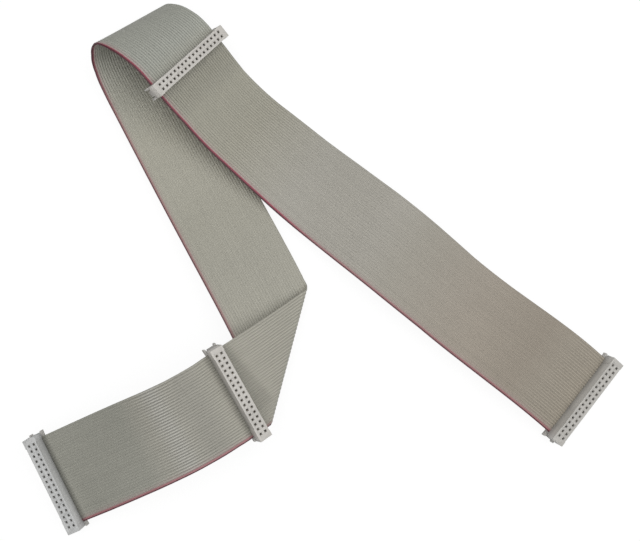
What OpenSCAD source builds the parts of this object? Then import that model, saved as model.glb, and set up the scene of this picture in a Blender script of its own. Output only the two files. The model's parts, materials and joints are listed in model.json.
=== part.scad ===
// Flat ribbon cable with four crimped two-row sockets, lying loose on a table.
// The strip leaves the first socket, passes the second, is folded back on itself at a slant,
// runs up to a rolled-over loop, passes the third socket and ends in the fourth.

/* [Ribbon] */
// Number of conductors, two for each contact column of a socket
conductors = 34; // [10:2:40]
// Distance between neighbouring conductors
pitch = 1.27; // [1.2:0.01:1.4]
// Thickness over a conductor
rib_t = 0.9; // [0.7:0.05:1.1]
// Thickness of the web between two conductors
web_t = 0.4; // [0.2:0.05:0.6]

/* [Socket body] */
// Width of the body along the ribbon
socket_w = 6.3; // [5.6:0.1:8]
// Height of the body, from the ribbon to the mating face
body_h = 5.9; // [5:0.1:8]
// Length of body beyond the outer contact columns
end_len = 3.2; // [3:0.1:5]
// Depth of the relief along both long sides
relief = 0.2; // [0.1:0.05:0.5]
// Length of the short end blocks beside the relief on the front
front_block = 2.5; // [1.5:0.1:4]
// Length of the end block at the last column on the back
back_block = 4; // [2:0.1:6]
// Length of the end block at the first column on the back
first_block = 6.6; // [5:0.1:9]

/* [Contact holes] */
// Width of a square contact hole
hole_w = 0.9; // [0.7:0.05:1]
// Width of the lead-in at the mating face
lead_w = 1.5; // [1.2:0.05:1.8]
// Depth of the lead-in
lead_h = 0.4; // [0.2:0.05:0.6]
// Thickness of the mating wall over the contact chambers
face_wall = 0.8; // [0.7:0.05:1.2]
// Length of a contact chamber across the ribbon
chamber_y = 1.5; // [1.4:0.05:1.8]
// Width of a contact chamber along the ribbon
chamber_x = 1; // [0.8:0.05:1.2]
// Height of the slots that the contact forks stand in
slot_h = 1; // [0.9:0.05:1.5]

/* [Contacts] */
// Thickness of the contact sheet
sheet_t = 0.3; // [0.2:0.05:0.4]
// Width of a tine of the fork
tine_w = 0.3; // [0.2:0.05:0.4]
// Width of a spring arm
arm_w = 0.22; // [0.15:0.01:0.25]
// Opening between the two spring arms at their tips
mouth = 0.56; // [0.4:0.02:0.6]

/* [Cover] */
// Width of the cover along the ribbon
cover_w = 6.1; // [5:0.1:7]
// Depth of the cover below the middle of the ribbon
cover_d = 3.3; // [3:0.1:5]
// Width of an end post of the body
post_w = 3; // [2:0.1:3.2]
// Depth of an end post below the middle of the ribbon
post_d = 2.4; // [2.2:0.1:2.8]
// Reach of the latch nose on a post
latch = 0.4; // [0.2:0.05:0.6]
// Height of the latch nose on a post
nose_h = 0.65; // [0.5:0.05:0.8]
// Depth of the top of the forked ends below the middle of the ribbon
fork_d = 0.9; // [0.7:0.05:1.5]
// Splay of the prongs at their tips
splay = 0.2; // [0:0.05:0.4]
// Length of the forked ends of the cover beyond the ribbon
fork_len = 2.55; // [1.5:0.05:3]

/* [Fits] */
// Clearance between the crimped socket and the ribbon
seat_gap = 0.05; // [0.02:0.01:0.1]
// Clearance between a post and the ribbon's edge
side_gap = 0.16; // [0.1:0.02:0.3]
// Clearance between a post and the fork around it
fork_gap = 0.1; // [0.05:0.01:0.2]
// Clearance around a contact in its slot
slot_gap = 0.12; // [0.08:0.01:0.15]

/* [Hidden] */

count = 2 * round(conductors / 2);
width = count * pitch;
columns = count / 2;
pin_pitch = 2 * pitch;
row_x = pin_pitch / 2;
seat_z = rib_t / 2 + seat_gap;
face_z = seat_z + body_h;
half_len = (columns - 1) * pin_pitch / 2 + end_len;
post_y = width / 2 + side_gap;
ribbon_end = socket_w / 2;
body_tone = "#c4c3bf";
cover_tone = "#bcbbb6";

// Where the strip starts: middle of the first socket, then the way it points there.
start = [-122.5, -102, 8];
heading = 23;
climb = 16;
bank = 10;

// The lie of the strip between sockets. Each row is one stretch:
// [length, bend (up towards the sockets' side is positive), roll, slant at its end, rings]
lie_ab = [
    [6, 0, 0, 0, 1],
    [12, 0.5, -3.5, 0, 0],
    [12, 1, 0, 0, 0],
    [12, 3, 3.5, 0, 1],
    [14, -4.5, 5.5, 0, 1],
    [14, -15, 4, 0, 1],
    [14, -17.5, 1, 0, 1],
    [5, -5, -2, 0, 1],
    [6, 0, 0, 0, 1]
];
lie_bc = [
    [6, 0, 0, 0, 1],
    [23, -7, 0, 1.05, 1],
    [9, -161.5, 0, 1.2, 6],
    [12, -2.5, 0, 0.65, 1],
    [17, 11.5, 0, 0, 1],
    [25, 4, -3, 0, 0],
    [25, -1.5, -1.5, 0, 1],
    [25, -4, -1.5, 0, 0],
    [25, -4.5, -1, 0, 1],
    [15, 7, 0, 0.25, 1],
    [8, -0.5, 0, 0.55, 0],
    [5, -6, 0, 0.75, 1],
    [5, -13.5, 0, 0.55, 1],
    [5, -23.5, 0, 0.35, 2],
    [5, -32.5, 0, 0.15, 2],
    [5, -34, 0, 0, 2],
    [6, -30.5, 0, 0.25, 2],
    [8, -21, 0, 0.25, 1],
    [10, -17.5, 0, 0.15, 1],
    [10, -28.5, 0, 0, 2],
    [6, 0, 0, 0, 1]
];
lie_cd = [
    [6, 0, 0, 0, 1],
    [15, 4, -2.5, 0, 0],
    [24, 19, 4, 0, 1],
    [25, -0.5, 7.5, 0, 1],
    [24, 12.5, 9, 0, 1],
    [24, 3, 4, 0, 1],
    [24, -18.5, -4.5, 0, 1],
    [24, -1.5, -6.5, 0, 1],
    [24, 12, 1, 0, 1],
    [18, 1.5, 2.5, 0, 0],
    [15, -8.5, 2, 0, 1],
    [17, -19.5, 1.5, 0, 1],
    [6, 0, 0, 0, 1]
];

// A frame on the strip is [place, travel, left, up]. Vector v turned by a about the unit axis u:
function spun(v, u, a) = v * cos(a) + cross(u, v) * sin(a) + u * (u * v) * (1 - cos(a));
function turned(f, u, a) = [f[0], spun(f[1], u, a), spun(f[2], u, a), spun(f[3], u, a)];
function moved(f, p) = [f[0] + p, f[1], f[2], f[3]];

// The frame after a stretch bends and rolls evenly, as a wide strip does: part of a helix.
function advanced(f, length, bend, roll, slant) =
    let (line = slant * f[1] + f[2],
         w = roll * f[1] - bend * line / norm(line),
         a = norm(w),
         u = a < 0.001 ? f[2] : w / a,
         r = a < 0.001 ? 1 : a * PI / 180,
         s = a < 0.001 ? 1 : sin(a) / r,
         c = a < 0.001 ? 0 : (1 - cos(a)) / r)
    turned(moved(f, length * (s * f[1] + c * cross(u, f[1]) + u * (u * f[1]) * (1 - s))), u, a);

// The slant that a stretch starts with, and its length: never so short that two of its bend
// lines would cross within the width.
function slant_before(rows, i) = i == 0 ? 0 : rows[i - 1][3];
function length_of(rows, i) =
    max(rows[i][0], abs(rows[i][3] - slant_before(rows, i)) * width / 2 + 0.1);

// Frames at the ends of all stretches, the first frame included.
function chained(f, rows, i = 0) =
    i == len(rows) ? [f] :
    let (slant = (slant_before(rows, i) + rows[i][3]) / 2,
         next = advanced(f, length_of(rows, i), rows[i][1], rows[i][2], slant))
    concat([f], chained(next, rows, i + 1));

// Rings [frame, slant] of the strip from one socket to the next, none under the sockets.
function rings(f, rows) =
    let (frames = chained(f, rows))
    [for (i = [0 : len(rows) - 2]) for (j = [1 : 1 : rows[i][4]])
        let (before = slant_before(rows, i),
             k = j / rows[i][4],
             slant = (before + rows[i][3]) / 2)
        [advanced(frames[i], k * length_of(rows, i), k * rows[i][1], k * rows[i][2], slant),
         before + (rows[i][3] - before) * k]];

function first_frame() =
    let (t = [cos(heading) * cos(climb), sin(heading) * cos(climb), sin(climb)],
         b = [-sin(heading), cos(heading), 0])
    turned([start, t, b, cross(t, b)], t, bank);
function last_of(list) = list[len(list) - 1];

frame_a = first_frame();
frame_b = last_of(chained(frame_a, lie_ab));
frame_c = last_of(chained(frame_b, lie_bc));
frame_d = last_of(chained(frame_c, lie_cd));

strip = concat(
    [[advanced(frame_a, -ribbon_end, 0, 0, 0), 0]],
    rings(frame_a, lie_ab),
    rings(frame_b, lie_bc),
    rings(frame_c, lie_cd),
    [[advanced(frame_d, ribbon_end, 0, 0, 0), 0]]
);

// Across the ribbon: place and half thickness of each crest and each valley.
ribs = 2 * count;
function rib_v(i) = (i - count) * pitch / 2;
function rib_h(i) = (i % 2 == 1 ? rib_t : web_t) / 2;
function skin(ring, i, side) =
    let (f = ring[0])
    f[0] + rib_v(i) * (ring[1] * f[1] + f[2]) + side * rib_h(i) * f[3];

// One moulded strip: top points then bottom points for each ring, closed at both ends.
module ribbon() {
    n = ribs + 1;
    m = len(strip);
    points = [for (ring = strip) for (side = [1, -1]) for (i = [0 : ribs]) skin(ring, i, side)];
    top = [for (k = [0 : m - 2]) for (i = [0 : ribs - 1])
        let (a = 2 * n * k + i, b = a + 2 * n) each [[a, a + 1, b], [a + 1, b + 1, b]]];
    bottom = [for (k = [0 : m - 2]) for (i = [0 : ribs - 1])
        let (a = 2 * n * k + n + i, b = a + 2 * n) each [[a, b, a + 1], [a + 1, b, b + 1]]];
    edges = [for (k = [0 : m - 2]) for (e = [0, ribs])
        let (a = 2 * n * k + e, b = a + 2 * n)
        each (e == 0 ? [[a, b, a + n], [a + n, b, b + n]] : [[a, a + n, b], [a + n, b + n, b]])];
    ends = [for (k = [0, m - 1]) for (i = [0 : ribs - 1])
        let (a = 2 * n * k + i)
        each (k == 0 ? [[a, a + n, a + 1], [a + 1, a + n, a + n + 1]]
                     : [[a, a + 1, a + n], [a + 1, a + n + 1, a + n]])];
    color("#99988e") polyhedron(points, concat(top, bottom, edges, ends), convexity = 10);
}

module at(f) {
    multmatrix([[f[1].x, f[2].x, f[3].x, f[0].x],
                [f[1].y, f[2].y, f[3].y, f[0].y],
                [f[1].z, f[2].z, f[3].z, f[0].z],
                [0, 0, 0, 1]])
        children();
}

function column_y(i) = (i - (columns - 1) / 2) * pin_pitch;

// Rows of squares in plan, one at each contact. The forks stand over the conductors,
// half a conductor to either side of their hole.
module hole_plan(size_x, size_y, shift = 0) {
    for (side = [-1, 1])
        for (i = [0 : columns - 1])
            translate([side * row_x, column_y(i) - side * shift])
                square([size_x, size_y], center = true);
}

module body_plan() {
    x = socket_w / 2;
    r = x - relief;
    polygon([
        [x, -half_len], [x, front_block - half_len], [r, front_block - half_len],
        [r, half_len - front_block], [x, half_len - front_block], [x, half_len],
        [-x, half_len], [-x, half_len - back_block], [-r, half_len - back_block],
        [-r, first_block - half_len], [-x, first_block - half_len], [-x, -half_len]
    ]);
}

// Pyramid lead-ins of one row: the length profile crossed with the width profile.
module lead_ins(x) {
    over = 0.1;
    steep = (lead_w - hole_w) / 2 / lead_h;
    wide = lead_w / 2 + over * steep;
    intersection() {
        translate([0, half_len, 0])
            rotate([90, 0, 0])
                linear_extrude(2 * half_len)
                    polygon([[x - hole_w / 2, face_z - lead_h], [x + hole_w / 2, face_z - lead_h],
                             [x + wide, face_z + over], [x - wide, face_z + over]]);
        translate([x - pin_pitch / 2, 0, 0])
            rotate([90, 0, 90])
                linear_extrude(pin_pitch)
                    for (i = [0 : columns - 1])
                        translate([column_y(i), 0])
                            polygon([[-hole_w / 2, face_z - lead_h], [hole_w / 2, face_z - lead_h],
                                     [wide, face_z + over], [-wide, face_z + over]]);
    }
}

// End post with its latch nose, drawn in the plane across the ribbon.
module post(side) {
    nose = post_y - latch;
    root = body_h / 10;
    translate([-post_w / 2, 0, 0])
        rotate([90, 0, 90])
            linear_extrude(post_w)
                polygon([[side * post_y, seat_z + root], [side * post_y, nose_h - post_d],
                         [side * nose, nose_h - post_d - latch / 2],
                         [side * nose, latch / 2 - post_d], [side * post_y, -post_d],
                         [side * half_len, -post_d], [side * half_len, seat_z + root]]);
}

module body() {
    slot_x = sheet_t + 2 * slot_gap;
    slot_y = pitch + tine_w + 2 * slot_gap;
    difference() {
        union() {
            translate([0, 0, seat_z]) linear_extrude(body_h) body_plan();
            post(1);
            post(-1);
        }
        translate([0, 0, seat_z - 1])
            linear_extrude(slot_h + 1) hole_plan(slot_x, slot_y, pitch / 2);
        translate([0, 0, seat_z + slot_h])
            linear_extrude(body_h - slot_h - face_wall) hole_plan(chamber_x, chamber_y);
        translate([0, 0, face_z - face_wall - 0.1])
            linear_extrude(face_wall + 0.2) hole_plan(hole_w, hole_w);
        lead_ins(row_x);
        lead_ins(-row_x);
    }
}

// One contact of bent sheet: a fork over its conductor below, two spring arms above.
module contact(flip) {
    tip = web_t / 2 + seat_gap + 0.02;
    t = tine_w / 2;
    bar = seat_z + 0.4;
    neck = seat_z + slot_h;
    arm = chamber_y / 2 - 0.14;
    top = face_z - face_wall - 0.1;
    bow = mouth / 2;
    translate([-sheet_t / 2, 0, 0])
        rotate([90, 0, 90])
            linear_extrude(sheet_t)
                polygon([for (p = [
                        [-0.05, tip], [0.05, tip], [t, tip + 0.3], [t, bar],
                        [pitch - t, bar], [pitch - t, tip + 0.3], [pitch - 0.05, tip],
                        [pitch + 0.05, tip], [pitch + t, tip + 0.3], [pitch + t, neck - 0.05],
                        [arm, neck - 0.05], [arm, top - 0.8], [bow + arm_w, top], [bow, top],
                        [arm - arm_w, top - 0.8], [arm - arm_w, neck + 0.6],
                        [arm_w - arm, neck + 0.6], [arm_w - arm, top - 0.8], [-bow, top],
                        [-bow - arm_w, top], [-arm, top - 0.8], [-arm, neck + 0.05],
                        [-t, neck + 0.05], [-t, tip + 0.3]
                    ]) [flip * p[0], p[1]]]);
}

module contacts() {
    for (side = [-1, 1])
        for (i = [0 : columns - 1])
            translate([side * row_x, column_y(i), 0]) contact(-side);
}

// Plan of one forked end of the cover: two prongs that flare out beside the post.
module prongs(side) {
    inner = post_w / 2 + fork_gap;
    outer = cover_w / 2;
    root = width / 2 - latch;
    tip = width / 2 + fork_len;
    wide = outer - inner;
    for (x = [-1, 1])
        polygon([[x * inner, side * root], [x * outer, side * root],
                 [x * (outer + splay), side * tip], [x * (inner + wide / 2 + splay), side * tip],
                 [x * inner, side * (width / 2 + fork_len / 6)]]);
}

module cover() {
    notch_y = post_y - latch - fork_gap;
    difference() {
        translate([-cover_w / 2, 0, 0])
            rotate([90, 0, 90])
                linear_extrude(cover_w)
                    polygon(concat(
                        [for (i = [0 : ribs]) [rib_v(i), -rib_h(i) - seat_gap]],
                        [[width / 2, -cover_d], [-width / 2, -cover_d]]
                    ));
        for (side = [-1, 1])
            translate([-post_w / 2 - fork_gap, side > 0 ? notch_y : -notch_y - post_y, -2 * cover_d])
                cube([post_w + 2 * fork_gap, post_y, 2 * cover_d - post_d + nose_h + fork_gap]);
    }
    for (side = [-1, 1])
        translate([0, 0, -cover_d]) linear_extrude(cover_d - fork_d) prongs(side);
}

module socket_a_body() { color(body_tone) at(frame_a) body(); }
module socket_b_body() { color(body_tone) at(frame_b) body(); }
module socket_c_body() { color(body_tone) at(frame_c) body(); }
module socket_d_body() { color(body_tone) at(frame_d) body(); }
module socket_a_cover() { color(cover_tone) at(frame_a) cover(); }
module socket_b_cover() { color(cover_tone) at(frame_b) cover(); }
module socket_c_cover() { color(cover_tone) at(frame_c) cover(); }
module socket_d_cover() { color(cover_tone) at(frame_d) cover(); }
module socket_a_contacts() { color("#c9a94f") at(frame_a) contacts(); }
module socket_b_contacts() { color("#c9a94f") at(frame_b) contacts(); }
module socket_c_contacts() { color("#c9a94f") at(frame_c) contacts(); }
module socket_d_contacts() { color("#c9a94f") at(frame_d) contacts(); }

ribbon();
socket_a_body();
socket_a_cover();
socket_a_contacts();
socket_b_body();
socket_b_cover();
socket_b_contacts();
socket_c_body();
socket_c_cover();
socket_c_contacts();
socket_d_body();
socket_d_cover();
socket_d_contacts();
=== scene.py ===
"""Ribbon cable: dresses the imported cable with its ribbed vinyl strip, moulded sockets and stage."""

import json
import math

import bpy
from bpy.props import FloatProperty, FloatVectorProperty, IntProperty, PointerProperty
from mathutils import Matrix, Quaternion, Vector

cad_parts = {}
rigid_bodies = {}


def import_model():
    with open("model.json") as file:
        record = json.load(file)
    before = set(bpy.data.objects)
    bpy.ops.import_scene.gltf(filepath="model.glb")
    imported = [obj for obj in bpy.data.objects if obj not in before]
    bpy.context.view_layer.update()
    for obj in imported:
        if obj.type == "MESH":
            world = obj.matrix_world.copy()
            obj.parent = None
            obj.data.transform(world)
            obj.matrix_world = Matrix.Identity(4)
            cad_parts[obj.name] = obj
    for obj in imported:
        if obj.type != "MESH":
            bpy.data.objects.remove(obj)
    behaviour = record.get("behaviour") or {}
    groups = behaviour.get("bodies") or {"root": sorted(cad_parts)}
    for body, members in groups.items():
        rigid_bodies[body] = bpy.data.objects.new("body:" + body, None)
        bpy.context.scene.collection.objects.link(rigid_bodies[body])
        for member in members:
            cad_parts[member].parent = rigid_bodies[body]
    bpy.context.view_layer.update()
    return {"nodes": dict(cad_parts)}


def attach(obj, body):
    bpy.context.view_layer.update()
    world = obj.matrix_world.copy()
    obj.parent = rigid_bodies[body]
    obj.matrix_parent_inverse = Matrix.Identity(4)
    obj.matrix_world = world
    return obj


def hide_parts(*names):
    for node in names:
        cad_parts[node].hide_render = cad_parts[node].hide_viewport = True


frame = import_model()

bl_info = {
    "name": "Ribbon Cable",
    "version": (1, 0, 0),
    "blender": (4, 5, 0),
    "location": "3D View > Sidebar > Ribbon Cable",
    "description": "Builds the looks of a flat ribbon cable with four crimped sockets",
    "category": "Object",
}

MM = 0.001
SOCKETS = ("a", "b", "c", "d")

# Sizes in millimetres from the middle of a socket, where the ribbon passes: half the body along the
# ribbon and its face's height, half the cover and its depth, half the ribbon's width, what the
# contact holes reach, the part of the face inside its rim, and where the end walls begin.
HALF_BODY, FACE = 3.15, 6.4
HALF_COVER, COVER_DEPTH = 3.05, 3.3
HALF_RIBBON = 21.59
HOLES_ALONG, HOLES_ACROSS = 2.08, 21.12
INNER_ALONG, INNER_ACROSS = 2.6, 22.2
END_WALL = 23.45
WORN_EDGE = 0.2

# Each body's tint, as a share of the bodies' colour: the first bluer and the last darker; and the painted
# light that makes the third one's end wall paler.
SOCKET_TINTS = ((1.00, 1.04, 1.09), (1.0, 0.99, 0.98), (1.0, 0.99, 0.98), (0.895, 0.895, 0.89))
LIT_END_SOCKET, END_WALL_PAINTED_LIGHT = "c", 1.3

# The lie of the strip, as in the part's source. It starts in the middle of the first socket.
START = (-122.5, -102.0, 8.0)
HEADING, CLIMB, BANK = 23.0, 16.0, 10.0
STRIP_END = HALF_BODY

# One row for each stretch: length, bend, roll, slant of the bend line at its end.
LIE_AB = (
    (6, 0, 0, 0), (12, 0.5, -3.5, 0), (12, 1, 0, 0), (12, 3, 3.5, 0), (14, -4.5, 5.5, 0),
    (14, -15, 4, 0), (14, -17.5, 1, 0), (5, -5, -2, 0), (6, 0, 0, 0),
)
LIE_BC = (
    (6, 0, 0, 0), (23, -7, 0, 1.05), (9, -161.5, 0, 1.2), (12, -2.5, 0, 0.65), (17, 11.5, 0, 0),
    (25, 4, -3, 0), (25, -1.5, -1.5, 0), (25, -4, -1.5, 0), (25, -4.5, -1, 0), (15, 7, 0, 0.25),
    (8, -0.5, 0, 0.55), (5, -6, 0, 0.75), (5, -13.5, 0, 0.55), (5, -23.5, 0, 0.35),
    (5, -32.5, 0, 0.15), (5, -34, 0, 0), (6, -30.5, 0, 0.25), (8, -21, 0, 0.25),
    (10, -17.5, 0, 0.15), (10, -28.5, 0, 0), (6, 0, 0, 0),
)
LIE_CD = (
    (6, 0, 0, 0), (15, 4, -2.5, 0), (24, 19, 4, 0), (25, -0.5, 7.5, 0), (24, 12.5, 9, 0),
    (24, 3, 4, 0), (24, -18.5, -4.5, 0), (24, -1.5, -6.5, 0), (24, 12, 1, 0), (18, 1.5, 2.5, 0),
    (15, -8.5, 2, 0), (17, -19.5, 1.5, 0), (6, 0, 0, 0),
)

# Places of the second and the last socket along the strip.
SECOND_SOCKET = sum(row[0] for row in LIE_AB)
LAST_SOCKET = sum(row[0] for row in LIE_AB + LIE_BC + LIE_CD)

# The lists below run along the strip, with places as shares of the way to the last socket.
# The vinyl's tone, as shares of its colour: partly its own tone, partly painted light and shade, with a
# painted highlight over the arch between the first two sockets and painted shade near both ends and just past
# the third socket.
TONE_AND_PAINTED_LIGHT = (
    (0.000, (0.85, 0.87, 0.89)), (0.070, (0.87, 0.89, 0.91)), (0.090, (0.98, 0.98, 1.00)),
    (0.104, (1.08, 1.09, 1.16)), (0.114, (0.97, 0.97, 0.99)), (0.124, (0.86, 0.86, 0.88)),
    (0.132, (0.87, 0.87, 0.89)), (0.143, (0.99, 0.99, 1.00)), (0.190, (1.05, 1.05, 1.06)),
    (0.260, (1.08, 1.08, 1.08)), (0.300, (1.05, 1.05, 1.05)), (0.340, (1.05, 1.05, 1.04)),
    (0.380, (1.11, 1.11, 1.10)), (0.420, (1.10, 1.10, 1.08)), (0.530, (0.94, 0.98, 1.02)),
    (0.570, (0.93, 0.98, 1.02)), (0.596, (0.97, 0.97, 0.96)), (0.603, (0.86, 0.86, 0.83)),
    (0.612, (0.86, 0.86, 0.84)), (0.622, (0.95, 0.95, 0.92)), (0.660, (0.96, 0.95, 0.92)),
    (0.720, (1.07, 1.06, 1.10)), (0.795, (1.09, 1.07, 1.11)), (0.824, (0.98, 0.95, 0.96)),
    (0.880, (0.93, 0.86, 0.85)), (0.905, (0.93, 0.85, 0.83)), (0.945, (0.83, 0.75, 0.72)),
    (0.965, (0.88, 0.81, 0.78)), (1.000, (0.94, 0.87, 0.84)),
)

# How strongly the ribs carry painted light: below one the webs between the wires get painted shade and the
# crests a painted highlight; above one the webs are painted paler to cancel their shade.
RIB_PAINTED_LIGHT = (
    (0.000, 1.05), (0.040, 0.96), (0.080, 0.90), (0.104, 0.38), (0.130, 1.00), (0.142, 0.68),
    (0.178, 1.00), (0.192, 0.74), (0.240, 0.72), (0.270, 0.95), (0.340, 0.95), (0.380, 0.94),
    (0.545, 1.10), (0.560, 0.72), (0.607, 0.66), (0.622, 0.95), (0.660, 0.78), (0.700, 0.88),
    (0.740, 0.97), (0.950, 1.05), (0.972, 0.75), (1.000, 0.75),
)

# How strongly the marked edge shows: it is rubbed off round the sharp fold.
MARKING = (
    (0.00, 0.64), (0.15, 0.62), (0.18, 0.10), (0.22, 0.10), (0.25, 0.42), (0.45, 0.45),
    (0.53, 1.00), (0.72, 1.00), (0.76, 0.52), (1.00, 0.60),
)

# Where the camera aims, in millimetres, and the place and size of the light box, in metres.
AIM = (-3.0, -4.0, 0.0)
BOX_PLACE = (0.22, 0.0, 0.7)
BOX_SIZE = (1.6, 1.1)


# ---------------------------------------------------------------- sizes and colours


class RibbonSettings(bpy.types.PropertyGroup):
    conductors: IntProperty(name="Conductors", description="Insulated wires side by side", default=34)
    pitch: FloatProperty(name="Pitch", description="Distance between wires", default=1.27 * MM, unit="LENGTH")
    rib: FloatProperty(name="Rib", description="Thickness over a wire", default=0.9 * MM, unit="LENGTH")
    web: FloatProperty(name="Web", description="Thickness between wires", default=0.4 * MM, unit="LENGTH")
    grey: FloatVectorProperty(
        name="Vinyl",
        description="Colour of the strip",
        default=(0.378, 0.367, 0.312, 1.0),
        subtype="COLOR",
        size=4,
    )
    red: FloatVectorProperty(
        name="First wire",
        description="Colour of the marked edge",
        default=(0.36, 0.08, 0.115, 1.0),
        subtype="COLOR",
        size=4,
    )


class SocketSettings(bpy.types.PropertyGroup):
    body: FloatVectorProperty(
        name="Body",
        description="Colour of the moulded bodies",
        default=(0.580, 0.562, 0.530, 1.0),
        subtype="COLOR",
        size=4,
    )
    cover: FloatVectorProperty(
        name="Cover",
        description="Colour of the clamping covers",
        default=(0.545, 0.530, 0.500, 1.0),
        subtype="COLOR",
        size=4,
    )
    metal: FloatVectorProperty(
        name="Contacts",
        description="Colour of the spring contacts",
        default=(0.55, 0.47, 0.33, 1.0),
        subtype="COLOR",
        size=4,
    )


class StageSettings(bpy.types.PropertyGroup):
    lens: FloatProperty(name="Lens", description="Focal length in millimetres", default=55.47)
    distance: FloatProperty(
        name="Distance",
        description="From the camera to the table's middle",
        default=0.47,
        unit="LENGTH",
    )
    height: FloatProperty(
        name="Height",
        description="Angle of the view above the table",
        default=math.radians(82.05),
        subtype="ANGLE",
    )
    box: FloatProperty(name="Light box", description="Power of the wide soft box overhead", default=8.2)
    room: FloatProperty(name="Room", description="Strength of the light all round", default=0.16)
    floor: FloatProperty(
        name="Table glow",
        description="How far the table is washed out to white",
        default=0.86,
    )


# ---------------------------------------------------------------- small helpers


def only(obj):
    """Selects this object and nothing else."""
    for other in bpy.context.view_layer.objects:
        other.select_set(False)
    obj.select_set(True)
    bpy.context.view_layer.objects.active = obj


def new_material(name):
    mat = bpy.data.materials.new(name)
    mat.use_nodes = True
    tree = mat.node_tree
    tree.nodes.clear()
    out = tree.nodes.new("ShaderNodeOutputMaterial")
    shader = tree.nodes.new("ShaderNodeBsdfPrincipled")
    tree.links.new(shader.outputs["BSDF"], out.inputs["Surface"])
    return mat, tree, shader


def math_node(tree, operation, first, second=None, third=None, clamp=False):
    node = tree.nodes.new("ShaderNodeMath")
    node.operation = operation
    node.use_clamp = clamp
    for socket, value in zip(node.inputs, (first, second, third)):
        if value is None:
            continue
        if isinstance(value, (int, float)):
            socket.default_value = value
        else:
            tree.links.new(value, socket)
    return node.outputs[0]


def mix_colour(tree, share, first, second, blend="MIX"):
    node = tree.nodes.new("ShaderNodeMix")
    node.data_type = "RGBA"
    node.blend_type = blend
    pairs = ((node.inputs[0], share), (node.inputs[6], first), (node.inputs[7], second))
    for socket, value in pairs:
        if isinstance(value, (int, float, tuple)):
            socket.default_value = value
        else:
            tree.links.new(value, socket)
    return node.outputs[2]


def new_group(name, inputs, output):
    """An empty shader node group with one value output, its input node and the socket to feed."""
    tree = bpy.data.node_groups.new(name, "ShaderNodeTree")
    for label, kind, default in inputs:
        socket = tree.interface.new_socket(label, in_out="INPUT", socket_type="NodeSocket" + kind)
        if default is not None:
            socket.default_value = default
    tree.interface.new_socket(output, in_out="OUTPUT", socket_type="NodeSocketFloat")
    given = tree.nodes.new("NodeGroupInput")
    result = tree.nodes.new("NodeGroupOutput")
    return tree, given.outputs, result.inputs[output]


def rising(tree, value, empty, full):
    """A mask that rises evenly from 0 where the value is empty to 1 where it is full."""
    slope = 1 / (full - empty)
    return math_node(tree, "MULTIPLY_ADD", value, slope, -empty * slope, clamp=True)


def noise(tree, coords, scale, detail):
    node = tree.nodes.new("ShaderNodeTexNoise")
    node.inputs["Detail"].default_value = detail
    tree.links.new(coords, node.inputs["Vector"])
    tree.links.new(scale, node.inputs["Scale"])
    return node.outputs["Fac"]


def clouds_group():
    """Soft clouds of tone that wander between a low and a high value."""
    name = "tone_clouds"
    if name in bpy.data.node_groups:
        return bpy.data.node_groups[name]
    inputs = (
        ("Vector", "Vector", None),
        ("Scale", "Float", 20.0),
        ("Low", "Float", 0.9),
        ("High", "Float", 1.1),
    )
    tree, given, result = new_group(name, inputs, "Tone")
    field = tree.nodes.new("ShaderNodeMapRange")
    tree.links.new(noise(tree, given["Vector"], given["Scale"], 4.0), field.inputs["Value"])
    field.inputs["From Min"].default_value = 0.3
    field.inputs["From Max"].default_value = 0.7
    tree.links.new(given["Low"], field.inputs["To Min"])
    tree.links.new(given["High"], field.inputs["To Max"])
    tree.links.new(field.outputs[0], result)
    return tree


def grain_group():
    """The fine sparked grain of a mould, with a few larger pits, as a height."""
    name = "mould_grain"
    if name in bpy.data.node_groups:
        return bpy.data.node_groups[name]
    inputs = (("Vector", "Vector", None), ("Scale", "Float", 3000.0))
    tree, given, result = new_group(name, inputs, "Height")
    fine = noise(tree, given["Vector"], given["Scale"], 2.0)
    coarse = noise(tree, given["Vector"], math_node(tree, "MULTIPLY", given["Scale"], 0.22), 1.0)
    tree.links.new(math_node(tree, "MULTIPLY_ADD", coarse, 0.6, fine), result)
    return tree


def shade_and_grime_group():
    """A share of the clean tone that is left where a mask is covered patchily, used for painted shade and for
    grime.
    """
    name = "patchy_grime"
    if name in bpy.data.node_groups:
        return bpy.data.node_groups[name]
    inputs = (
        ("Vector", "Vector", None),
        ("Scale", "Float", 300.0),
        ("Mask", "Float", 0.0),
        ("Amount", "Float", 0.3),
    )
    tree, given, result = new_group(name, inputs, "Tone")
    patch = math_node(tree, "MULTIPLY_ADD", noise(tree, given["Vector"], given["Scale"], 3.0), 0.6, 0.7)
    share = math_node(tree, "MULTIPLY", math_node(tree, "MULTIPLY", given["Mask"], given["Amount"]), patch)
    tree.links.new(math_node(tree, "SUBTRACT", 1.0, share, clamp=True), result)
    return tree


def placed(tree, group, **values):
    """Places a node group, with each named input given a number or a link."""
    node = tree.nodes.new("ShaderNodeGroup")
    node.node_tree = group
    for label, value in values.items():
        if isinstance(value, (int, float)):
            node.inputs[label].default_value = value
        else:
            tree.links.new(value, node.inputs[label])
    return node.outputs[0]


def shaded(tree, colour, *tones):
    """The colour times each tone."""
    for tone in tones:
        colour = mix_colour(tree, 1.0, colour, tone, "MULTIPLY")
    return colour


def grained(tree, shader, coords, scale, strength):
    """Gives the shader the mould's grain as a bump."""
    bump = tree.nodes.new("ShaderNodeBump")
    bump.inputs["Strength"].default_value = strength
    bump.inputs["Distance"].default_value = 0.1 * MM
    tree.links.new(placed(tree, grain_group(), Vector=coords, Scale=scale), bump.inputs["Height"])
    tree.links.new(bump.outputs["Normal"], shader.inputs["Normal"])


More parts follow.
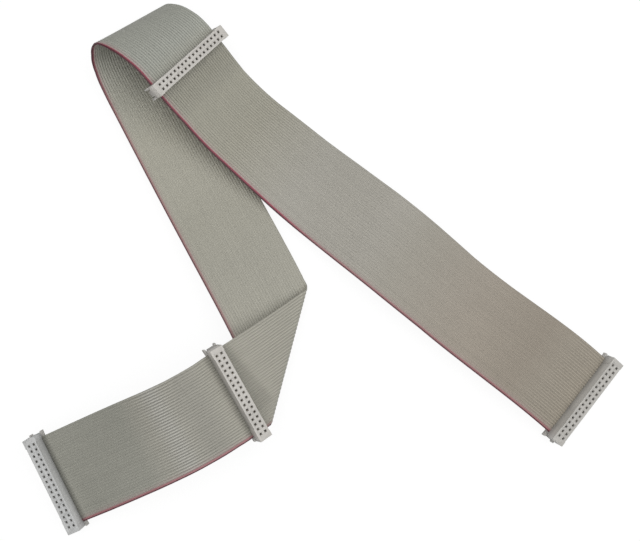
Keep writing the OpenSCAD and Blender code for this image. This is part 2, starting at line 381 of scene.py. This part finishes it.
def ramp(tree, share, stops):
    """A colour ramp over (place, tone) stops, where a tone is a colour or one number."""
    node = tree.nodes.new("ShaderNodeValToRGB")
    elements = node.color_ramp.elements
    elements.remove(elements[1])
    elements[0].position = stops[0][0]
    for number, (place, tone) in enumerate(stops):
        stop = elements.new(place) if number else elements[0]
        stop.color = (tone if isinstance(tone, tuple) else (tone,) * 3) + (1.0,)
    tree.links.new(share, node.inputs["Fac"])
    return node.outputs["Color"]


def object_coords(tree):
    return tree.nodes.new("ShaderNodeTexCoord").outputs["Object"]


# ---------------------------------------------------------------- the lie of the strip


# A frame is a place on the strip's middle line, and the directions of travel, left and up there.


def turned(here, turn):
    place, travel, left, up = here
    return [place, turn @ travel, turn @ left, turn @ up]


def advanced(here, length, bend, roll, slant):
    """The frame after a stretch bends and rolls evenly, as a wide strip does: part of a helix."""
    place, travel, left, up = here
    line = (slant * travel + left).normalized()
    spin = math.radians(roll) * travel - math.radians(bend) * line
    angle = spin.length
    if angle < 1e-6:
        return [place + length * travel, travel, left, up]
    axis = spin / angle
    forward, aside = math.sin(angle) / angle, (1 - math.cos(angle)) / angle
    step = forward * travel + aside * axis.cross(travel) + axis * (axis.dot(travel)) * (1 - forward)
    return turned([place + length * step, travel, left, up], Quaternion(axis, angle))


def first_frame():
    """The frame in the middle of the first socket."""
    heading, climb, bank = math.radians(HEADING), math.radians(CLIMB), math.radians(BANK)
    flat = math.cos(climb)
    travel = Vector((math.cos(heading) * flat, math.sin(heading) * flat, math.sin(climb)))
    left = Vector((-math.sin(heading), math.cos(heading), 0))
    return turned([Vector(START) * MM, travel, left, travel.cross(left)], Quaternion(travel, bank))


def strip_rings(longest=4.2, sharpest=5.0, twist=2.0):
    """Rings of the whole strip as (frame, slant, length so far), and the four socket frames.

    No step between two rings is longer, bends more or rolls more than the values given.
    """
    here = first_frame()
    rings = [(advanced(here, -STRIP_END * MM, 0, 0, 0), 0.0, -STRIP_END * MM)]
    sockets = [here]
    so_far = 0.0
    for lie in (LIE_AB, LIE_BC, LIE_CD):
        before = 0.0
        for length, bend, roll, slant in lie:
            count = math.ceil(max(length / longest, abs(bend) / sharpest, abs(roll) / twist))
            middle = (before + slant) / 2
            for step in range(1, count + 1):
                k = step / count
                ring = advanced(here, k * length * MM, k * bend, k * roll, middle)
                rings.append((ring, before + (slant - before) * k, so_far + k * length * MM))
            here = rings[-1][0]
            so_far += length * MM
            before = slant
        sockets.append(here)
    rings.append((advanced(here, STRIP_END * MM, 0, 0, 0), 0.0, so_far + STRIP_END * MM))
    return rings, sockets


def rib_outline(size, steps=5):
    """Half the strip's section as (across, half thickness): a round crest on every wire."""
    radius, web = size.rib / 2, size.web / 2
    foot = math.asin(web / radius)
    crest = [math.pi - foot - (math.pi - 2 * foot) * k / steps for k in range(steps + 1)]
    half = size.conductors * size.pitch / 2
    points = [(-half, web)]
    for wire in range(size.conductors):
        middle = -half + (wire + 0.5) * size.pitch
        points += [(middle + radius * math.cos(angle), radius * math.sin(angle)) for angle in crest]
    points.append((half, web))
    return points


def strip_mesh(size, rings, name):
    """The closed strip, with a UV map of wires across and metres along.

    Every ring is the outline twice: its n upper points, then its n lower ones.
    """
    outline = rib_outline(size)
    n = len(outline)
    verts, across, along = [], [], []
    for (place, travel, left, up), slant, s in rings:
        line = slant * travel + left
        for side in (1, -1):
            for v, h in outline:
                verts.append(place + v * line + side * h * up)
                across.append(v / size.pitch + size.conductors / 2)
                along.append(s + slant * v)
    faces = []
    for k in range(len(rings) - 1):
        a, b = 2 * n * k, 2 * n * (k + 1)
        for i in range(n - 1):
            faces.append((a + i, b + i, b + i + 1, a + i + 1))
            faces.append((a + n + i, a + n + i + 1, b + n + i + 1, b + n + i))
        faces.append((a, a + n, b + n, b))
        faces.append((a + n - 1, b + n - 1, b + 2 * n - 1, a + 2 * n - 1))
    for k, flip in ((0, False), (len(rings) - 1, True)):
        a = 2 * n * k
        for i in range(n - 1):
            quad = (a + i, a + i + 1, a + n + i + 1, a + n + i)
            faces.append(quad[::-1] if flip else quad)
    mesh = bpy.data.meshes.new(name)
    mesh.from_pydata(verts, [], faces)
    uv = mesh.uv_layers.new(name="Strip")
    for loop in mesh.loops:
        uv.data[loop.index].uv = (across[loop.vertex_index], along[loop.vertex_index])
    mesh.update()
    return mesh


# ---------------------------------------------------------------- materials


def wire_tones(tree, grey, across, share, coords):
    """The grey of the wires: each has its own faint tone, and all change along the strip, partly with painted
    light and shade.
    """
    wire = tree.nodes.new("ShaderNodeTexWhiteNoise")
    wire.noise_dimensions = "1D"
    tree.links.new(math_node(tree, "FLOOR", across), wire.inputs["W"])
    tone = math_node(tree, "MULTIPLY_ADD", wire.outputs["Value"], 0.05, 0.975)
    clouds = placed(tree, clouds_group(), Vector=coords, Scale=22.0, Low=0.975, High=1.025)
    grey = shaded(tree, grey, tone, clouds, ramp(tree, share, TONE_AND_PAINTED_LIGHT))

    # Painted highlights on the crests and painted shade in the webs, the other way round where the ramp is
    # above one.
    middle = math_node(tree, "ABSOLUTE", math_node(tree, "SUBTRACT", math_node(tree, "FRACT", across), 0.5))
    web = rising(tree, middle, 0.3, 0.5)
    crest_highlight = rising(tree, middle, 0.2, 0.0)
    painted_rib_light = math_node(tree, "SUBTRACT", math_node(tree, "MULTIPLY", crest_highlight, 0.7), web)
    contrast = math_node(tree, "SUBTRACT", 1.0, ramp(tree, share, RIB_PAINTED_LIGHT))
    return shaded(tree, grey, math_node(tree, "MULTIPLY_ADD", painted_rib_light, contrast, 1.0))


def marked_edge(tree, grey, red, across, share):
    """The first wire's pale crimson crest, which carries a painted highlight, its dark outer flank of painted
    shade, and a blush over the next wire.

    Places across are counted in wires from the marked edge.
    """
    blushed, shadowed = (0.41, 0.305, 0.295, 1.0), (0.085, 0.022, 0.03, 1.0)
    marking = ramp(tree, share, MARKING)
    blush = math_node(tree, "MULTIPLY", rising(tree, across, 2.75, 0.25), marking)
    crest = math_node(tree, "MULTIPLY", rising(tree, across, 1.15, 0.9), marking)
    kept = math_node(tree, "MULTIPLY_ADD", marking, 0.4, 0.6)
    flank = math_node(tree, "MULTIPLY", rising(tree, across, 0.4 + 1 / 6, 0.4), kept)
    colour = mix_colour(tree, blush, grey, blushed)
    colour = mix_colour(tree, crest, colour, red)
    return mix_colour(tree, flank, colour, shadowed)


def socket_painted_shade(tree, across, along):
    """A mask of painted shade where the strip meets the first and the second socket."""
    first = rising(tree, along, 5.8 * MM, 3.3 * MM)
    before = math_node(tree, "SUBTRACT", SECOND_SOCKET * MM, along)
    near = rising(tree, before, 6.0 * MM, 3.5 * MM)
    near = math_node(tree, "MULTIPLY", near, math_node(tree, "GREATER_THAN", before, 0.0))

    # On the second socket's far side a patch of painted shade gets longer with every wire towards the marked
    # edge, ends softly, and fades over the wires nearest to that edge.
    reach = math_node(tree, "MULTIPLY_ADD", across, -0.254 * MM, 16.818 * MM)
    patch = rising(tree, math_node(tree, "ADD", reach, before), 0.0, 2.5 * MM)
    patch = math_node(tree, "MULTIPLY", patch, math_node(tree, "LESS_THAN", before, 0.0))
    patch = math_node(tree, "MULTIPLY", patch, rising(tree, across, 4.4, 8.4))
    return math_node(tree, "MULTIPLY_ADD", near, 0.6, math_node(tree, "MULTIPLY_ADD", patch, 0.3, first))


def vinyl_material(settings):
    """Ribbed grey vinyl with a red first wire. It reads the strip's own UV map."""
    mat, tree, shader = new_material("ribbon_vinyl")
    uv = tree.nodes.new("ShaderNodeUVMap")
    uv.uv_map = "Strip"
    split = tree.nodes.new("ShaderNodeSeparateXYZ")
    tree.links.new(uv.outputs["UV"], split.inputs[0])
    across, along = split.outputs["X"], split.outputs["Y"]
    share = math_node(tree, "DIVIDE", along, LAST_SOCKET * MM)
    coords = object_coords(tree)

    colour = wire_tones(tree, tuple(settings.grey), across, share, coords)
    colour = marked_edge(tree, colour, tuple(settings.red), across, share)
    # Painted shade, made patchy, where the strip meets the first two sockets.
    mask = socket_painted_shade(tree, across, along)
    painted_shade = placed(tree, shade_and_grime_group(), Vector=coords, Scale=400.0, Mask=mask, Amount=0.5)
    tree.links.new(shaded(tree, colour, painted_shade), shader.inputs["Base Color"])
    gloss = placed(tree, clouds_group(), Vector=coords, Scale=160.0, Low=0.38, High=0.47)
    tree.links.new(gloss, shader.inputs["Roughness"])
    shader.inputs["Specular IOR Level"].default_value = 0.4
    grained(tree, shader, coords, 2600.0, 0.012)
    return mat


def body_material(settings):
    """Matt moulded plastic of a body. It reads the piece's own place and tint attributes."""
    mat, tree, shader = new_material("socket_plastic")
    coords = object_coords(tree)
    place = tree.nodes.new("ShaderNodeAttribute")
    place.attribute_name = "Place"
    split = tree.nodes.new("ShaderNodeSeparateXYZ")
    tree.links.new(place.outputs["Vector"], split.inputs[0])
    along = math_node(tree, "ABSOLUTE", split.outputs["X"])
    across = math_node(tree, "ABSOLUTE", split.outputs["Y"])
    height = split.outputs["Z"]
    # The tint attribute also carries painted light on one body's end wall.
    own = tree.nodes.new("ShaderNodeAttribute")
    own.attribute_name = "Tint"
    clouds = placed(tree, clouds_group(), Vector=coords, Scale=90.0, Low=0.95, High=1.05)

    # Painted shade darkens the foot of the walls, and the rim of the face is a little paler.
    foot = rising(tree, height, 3.9 * MM, 0.5 * MM)
    painted_shade = placed(tree, shade_and_grime_group(), Vector=coords, Scale=300.0, Mask=foot, Amount=0.4)
    corner = (HALF_BODY + FACE) * MM
    rim = rising(tree, math_node(tree, "ADD", along, height), corner - 0.75 * MM, corner - 0.25 * MM)
    pale_rim = math_node(tree, "MULTIPLY_ADD", rim, 0.06, 1.0)

    # Little light gets into the contact holes, and they hold dust.
    deep = rising(tree, height, (FACE - 0.02) * MM, (FACE - 0.32) * MM)
    deep = math_node(tree, "MULTIPLY", deep, math_node(tree, "LESS_THAN", along, HOLES_ALONG * MM))
    deep = math_node(tree, "MULTIPLY", deep, math_node(tree, "LESS_THAN", across, HOLES_ACROSS * MM))
    inside = placed(tree, shade_and_grime_group(), Vector=coords, Scale=500.0, Mask=deep, Amount=0.34)
    colour = shaded(tree, tuple(settings.body), clouds, own.outputs["Color"], painted_shade, pale_rim, inside)
    tree.links.new(colour, shader.inputs["Base Color"])
    gloss = placed(tree, clouds_group(), Vector=coords, Scale=220.0, Low=0.44, High=0.56)
    tree.links.new(gloss, shader.inputs["Roughness"])
    grained(tree, shader, coords, 3200.0, 0.12)
    return mat


def cover_material(settings):
    """Matt moulded plastic of a cover."""
    mat, tree, shader = new_material("cover_plastic")
    coords = object_coords(tree)
    clouds = placed(tree, clouds_group(), Vector=coords, Scale=90.0, Low=0.94, High=1.05)
    tree.links.new(shaded(tree, tuple(settings.cover), clouds), shader.inputs["Base Color"])
    gloss = placed(tree, clouds_group(), Vector=coords, Scale=220.0, Low=0.44, High=0.56)
    tree.links.new(gloss, shader.inputs["Roughness"])
    grained(tree, shader, coords, 3200.0, 0.12)
    return mat


def contact_material(settings):
    """Drawn contact metal, cloudy and lightly tarnished."""
    mat, tree, shader = new_material("contact_metal")
    coords = object_coords(tree)
    tarnish = placed(tree, clouds_group(), Vector=coords, Scale=400.0, Low=0.82, High=1.12)
    tree.links.new(shaded(tree, tuple(settings.metal), tarnish), shader.inputs["Base Color"])
    gloss = placed(tree, clouds_group(), Vector=coords, Scale=700.0, Low=0.25, High=0.48)
    tree.links.new(gloss, shader.inputs["Roughness"])
    shader.inputs["Metallic"].default_value = 1.0
    return mat


# ---------------------------------------------------------------- operators


class CABLE_OT_camera(bpy.types.Operator):
    """Places the camera over the table"""

    bl_idname = "cable.camera"
    bl_label = "Camera"

    def execute(self, context):
        settings = context.scene.cable_stage
        height = settings.height
        data = bpy.data.cameras.new("camera")
        data.lens = settings.lens
        data.sensor_width = 36.0
        data.clip_start = 0.01
        camera = bpy.data.objects.new("camera", data)
        context.scene.collection.objects.link(camera)
        offset = settings.distance * Vector((0, -math.cos(height), math.sin(height)))
        camera.location = Vector(AIM) * MM + offset
        camera.rotation_euler = (math.pi / 2 - height, 0, 0)
        context.scene.camera = camera
        return {"FINISHED"}


class CABLE_OT_ribbon(bpy.types.Operator):
    """Builds the ribbed strip from the first socket to the last"""

    bl_idname = "cable.ribbon"
    bl_label = "Ribbon"

    def execute(self, context):
        size = context.scene.cable_ribbon
        rings = strip_rings()[0]
        mesh = strip_mesh(size, rings, "ribbon_strip")
        strip = bpy.data.objects.new("ribbon_strip", mesh)
        context.scene.collection.objects.link(strip)
        only(strip)
        bpy.ops.object.shade_smooth_by_angle(angle=math.radians(60))
        mesh.materials.append(vinyl_material(size))
        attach(strip, "root")
        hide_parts("ribbon")
        return {"FINISHED"}


def moulded_piece(node, frame_here, name, rounded):
    """A merged copy of a CAD node whose outer edges are rounded, with its place in the socket kept."""
    piece = bpy.data.objects.new(name, node.data.copy())
    bpy.context.scene.collection.objects.link(piece)
    mesh = piece.data
    mesh.materials.clear()
    only(piece)
    bpy.ops.object.mode_set(mode="EDIT")
    bpy.ops.mesh.select_all(action="SELECT")
    bpy.ops.mesh.remove_doubles(threshold=1e-6)
    bpy.ops.mesh.dissolve_limited(angle_limit=math.radians(0.5))
    bpy.ops.mesh.select_all(action="DESELECT")
    bpy.ops.object.mode_set(mode="OBJECT")
    middle, travel, left, up = frame_here
    socket = Matrix((travel, left, up)).to_4x4() @ Matrix.Translation(-middle)
    here = [socket @ v.co for v in mesh.vertices]
    normals = {}
    for face in mesh.polygons:
        for key in face.edge_keys:
            normals.setdefault(key, []).append(face.normal)
    bpy.context.tool_settings.mesh_select_mode = (False, True, False)
    for edge in mesh.edges:
        sides = normals.get(tuple(sorted(edge.vertices)), ())
        sharp = len(sides) == 2 and sides[0].angle(sides[1]) > math.radians(40)
        edge.select = sharp and rounded(here[edge.vertices[0]], here[edge.vertices[1]])
    bpy.ops.object.mode_set(mode="EDIT")
    bpy.ops.mesh.bevel(offset=WORN_EDGE * MM, segments=2, profile=0.5, affect="EDGES", clamp_overlap=True)
    bpy.ops.object.mode_set(mode="OBJECT")
    bpy.ops.object.shade_smooth_by_angle(angle=math.radians(35))
    place = mesh.attributes.new("Place", "FLOAT_VECTOR", "POINT")
    for vertex, value in zip(mesh.vertices, place.data):
        value.vector = socket @ vertex.co
    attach(piece, "root")
    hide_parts(node.name)
    return piece


def body_rim(a, b):
    """An outer edge of a body's face or one of its upright corners."""
    outside = all(abs(p.x) > INNER_ALONG * MM or abs(p.y) > INNER_ACROSS * MM for p in (a, b))
    return outside and max(a.z, b.z) > (FACE - 0.9) * MM


def cover_rim(a, b):
    """An outer edge of the cover's underside."""
    low = max(a.z, b.z) < (0.1 - COVER_DEPTH) * MM
    outside = min(abs(a.x), abs(b.x)) > (HALF_COVER - 0.25) * MM
    return low and outside and max(abs(a.y), abs(b.y)) < (HALF_RIBBON + 0.11) * MM


def tinted(piece, tint, lit_end_wall):
    """Keeps a body's tint as an attribute, made paler by painted light on its end wall when asked."""
    own = piece.data.attributes.new("Tint", "FLOAT_COLOR", "POINT")
    place = piece.data.attributes["Place"]
    for value, here in zip(own.data, place.data):
        # Painted light on the chosen end wall.
        share = END_WALL_PAINTED_LIGHT if lit_end_wall and here.vector.y < -END_WALL * MM else 1.0
        value.color = tuple(share * part for part in tint) + (1.0,)


class CABLE_OT_sockets(bpy.types.Operator):
    """Gives the sockets their moulded plastic and metal"""

    bl_idname = "cable.sockets"
    bl_label = "Sockets"

    def execute(self, context):
        settings = context.scene.cable_socket
        plastic, clamp, metal = body_material(settings), cover_material(settings), contact_material(settings)
        for letter, frame_here, tint in zip(SOCKETS, strip_rings()[1], SOCKET_TINTS):
            body, cover, contacts = (
                frame["nodes"]["socket_%s_%s" % (letter, part)] for part in ("body", "cover", "contacts")
            )
            piece = moulded_piece(body, frame_here, "body_moulding_" + letter, body_rim)
            piece.data.materials.append(plastic)
            tinted(piece, tint, letter == LIT_END_SOCKET)
            piece = moulded_piece(cover, frame_here, "cover_moulding_" + letter, cover_rim)
            piece.data.materials.append(clamp)
            for slot in contacts.material_slots:
                slot.material = metal
        return {"FINISHED"}


def white_table(glow_share):
    """A pale table just under the cable, washed out to white for the camera only."""
    bpy.ops.mesh.primitive_plane_add(size=20.0, location=(0, 0, -0.2 * MM))
    table = bpy.context.object
    table.name = "table_top"
    mat, tree, shader = new_material("table_white")
    shader.inputs["Base Color"].default_value = (0.93, 0.93, 0.93, 1)
    shader.inputs["Roughness"].default_value = 0.9
    glow = tree.nodes.new("ShaderNodeEmission")
    glow.inputs["Strength"].default_value = 1.05
    blend = tree.nodes.new("ShaderNodeMixShader")
    seen = tree.nodes.new("ShaderNodeLightPath").outputs["Is Camera Ray"]
    tree.links.new(math_node(tree, "MULTIPLY", seen, glow_share), blend.inputs[0])
    tree.links.new(shader.outputs["BSDF"], blend.inputs[1])
    tree.links.new(glow.outputs["Emission"], blend.inputs[2])
    out = next(n for n in tree.nodes if n.type == "OUTPUT_MATERIAL")
    tree.links.new(blend.outputs["Shader"], out.inputs["Surface"])
    table.data.materials.append(mat)


def white_room(scene, strength):
    """Even light all round, and a white backdrop behind the table."""
    world = bpy.data.worlds.new("room")
    world.use_nodes = True
    tree = world.node_tree
    seen = tree.nodes.new("ShaderNodeLightPath").outputs["Is Camera Ray"]
    tree.links.new(math_node(tree, "MAXIMUM", seen, strength), tree.nodes["Background"].inputs["Strength"])
    tree.nodes["Background"].inputs["Color"].default_value = (1, 1, 1, 1)
    scene.world = world


def light_box(scene, power):
    """A wide soft box overhead."""
    light = bpy.data.lights.new("light_box", "AREA")
    light.shape = "RECTANGLE"
    light.size, light.size_y = BOX_SIZE
    light.energy = power
    lamp = bpy.data.objects.new("light_box", light)
    scene.collection.objects.link(lamp)
    lamp.location = BOX_PLACE


class CABLE_OT_stage(bpy.types.Operator):
    """Adds the pale table and the soft lights"""

    bl_idname = "cable.stage"
    bl_label = "Stage"

    def execute(self, context):
        settings = context.scene.cable_stage
        white_table(settings.floor)
        white_room(context.scene, settings.room)
        light_box(context.scene, settings.box)
        context.scene.view_settings.view_transform = "Standard"
        context.scene.view_settings.look = "None"
        return {"FINISHED"}


class CABLE_PT_panel(bpy.types.Panel):
    """Lists the builders of the cable"""

    bl_label = "Ribbon Cable"
    bl_idname = "CABLE_PT_panel"
    bl_space_type = "VIEW_3D"
    bl_region_type = "UI"
    bl_category = "Ribbon Cable"

    def draw(self, context):
        for settings in (context.scene.cable_ribbon, context.scene.cable_socket, context.scene.cable_stage):
            for name in settings.__annotations__:
                self.layout.prop(settings, name)
        for operator in OPERATORS:
            self.layout.operator(operator.bl_idname)


OPERATORS = (CABLE_OT_camera, CABLE_OT_sockets, CABLE_OT_ribbon, CABLE_OT_stage)
CLASSES = (RibbonSettings, SocketSettings, StageSettings) + OPERATORS + (CABLE_PT_panel,)


def register():
    for cls in CLASSES:
        bpy.utils.register_class(cls)
    bpy.types.Scene.cable_ribbon = PointerProperty(type=RibbonSettings)
    bpy.types.Scene.cable_socket = PointerProperty(type=SocketSettings)
    bpy.types.Scene.cable_stage = PointerProperty(type=StageSettings)


def unregister():
    del bpy.types.Scene.cable_stage
    del bpy.types.Scene.cable_socket
    del bpy.types.Scene.cable_ribbon
    for cls in reversed(CLASSES):
        bpy.utils.unregister_class(cls)


def main():
    register()
    bpy.ops.cable.camera()
    bpy.ops.cable.sockets()
    bpy.ops.cable.ribbon()
    bpy.ops.cable.stage()


if __name__ == "__main__":
    main()
